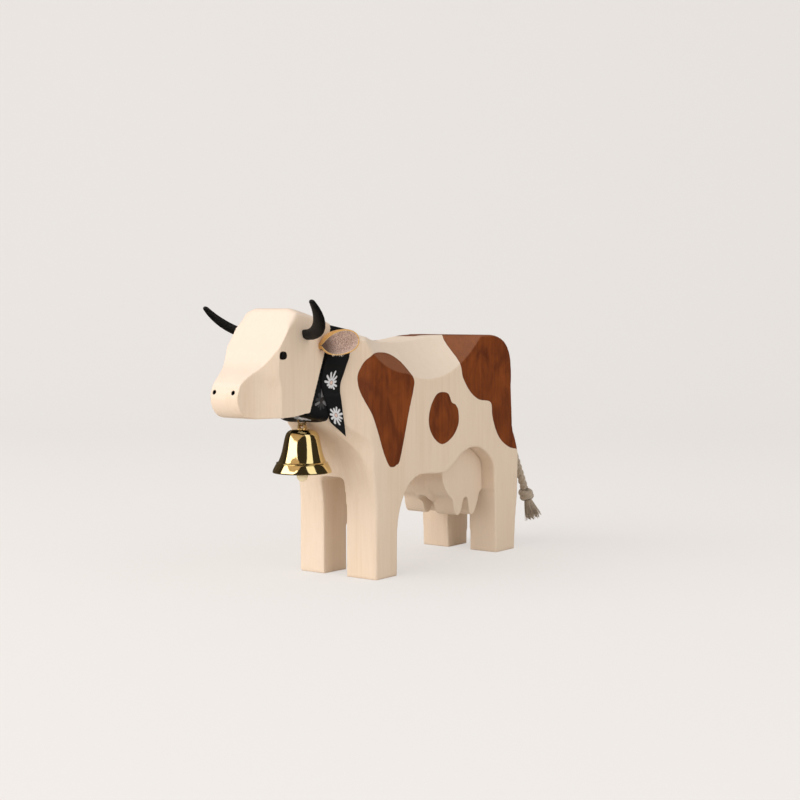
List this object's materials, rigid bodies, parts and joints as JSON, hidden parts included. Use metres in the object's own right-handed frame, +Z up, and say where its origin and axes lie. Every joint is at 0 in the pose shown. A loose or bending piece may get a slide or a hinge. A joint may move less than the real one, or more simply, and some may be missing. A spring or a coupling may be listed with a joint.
{
  "type": "wooden cow figurine",
  "caption": "Sawn and carved wooden toy cow with painted patches, set-in udder, leather ears, dark horns, a woven neck ribbon, a swinging brass bell and a cord tail.",
  "frame": {"origin": "on the floor, under the middle of the cow without its tail", "axes": "+Z up, the cow looks along -X, its left flank faces -Y"},
  "size_m": [0.2683, 0.0756, 0.1489],
  "materials": {
    "pale_wood": "sanded, bare, with brown stained patches",
    "black_wood": "stained black, matt",
    "leather": "tan outside, pinkish suede inside",
    "ribbon": "woven, with white flower motifs",
    "brass": "polished",
    "cord": "twisted natural fibre"
  },
  "bodies": {
    "cow": {"body_block": "pale_wood", "udder_block": "pale_wood", "head_block": "pale_wood", "neck_dowel": "pale_wood", "horn_left": "black_wood", "horn_right": "black_wood", "ear_left": "leather", "ear_right": "leather", "eye_left": "black_wood", "eye_right": "black_wood", "neck_ribbon": "ribbon", "tail_rope": "cord", "tail_tuft": "cord"},
    "ring": {"bell_ring": "brass"},
    "bell": {"bell_shell": "brass", "bell_hanger": "brass"},
    "clapper": {"bell_clapper": "brass"}
  },
  "joints": [
    {"name": "ring_swing", "type": "hinge", "parent": "cow", "child": "ring", "pos_m": [-0.05535, 0, 0.0866], "axis": [0, 1, 0], "range_deg": [-3, 35]},
    {"name": "bell_sway", "type": "hinge", "parent": "ring", "child": "bell", "pos_m": [-0.05535, 0, 0.0834], "axis": [1, 0, 0], "range_deg": [-14, 14]},
    {"name": "clapper_swing", "type": "hinge", "parent": "bell", "child": "clapper", "pos_m": [-0.05535, 0, 0.0777], "axis": [0, 1, 0], "range_deg": [-30, 30]}
  ]
}
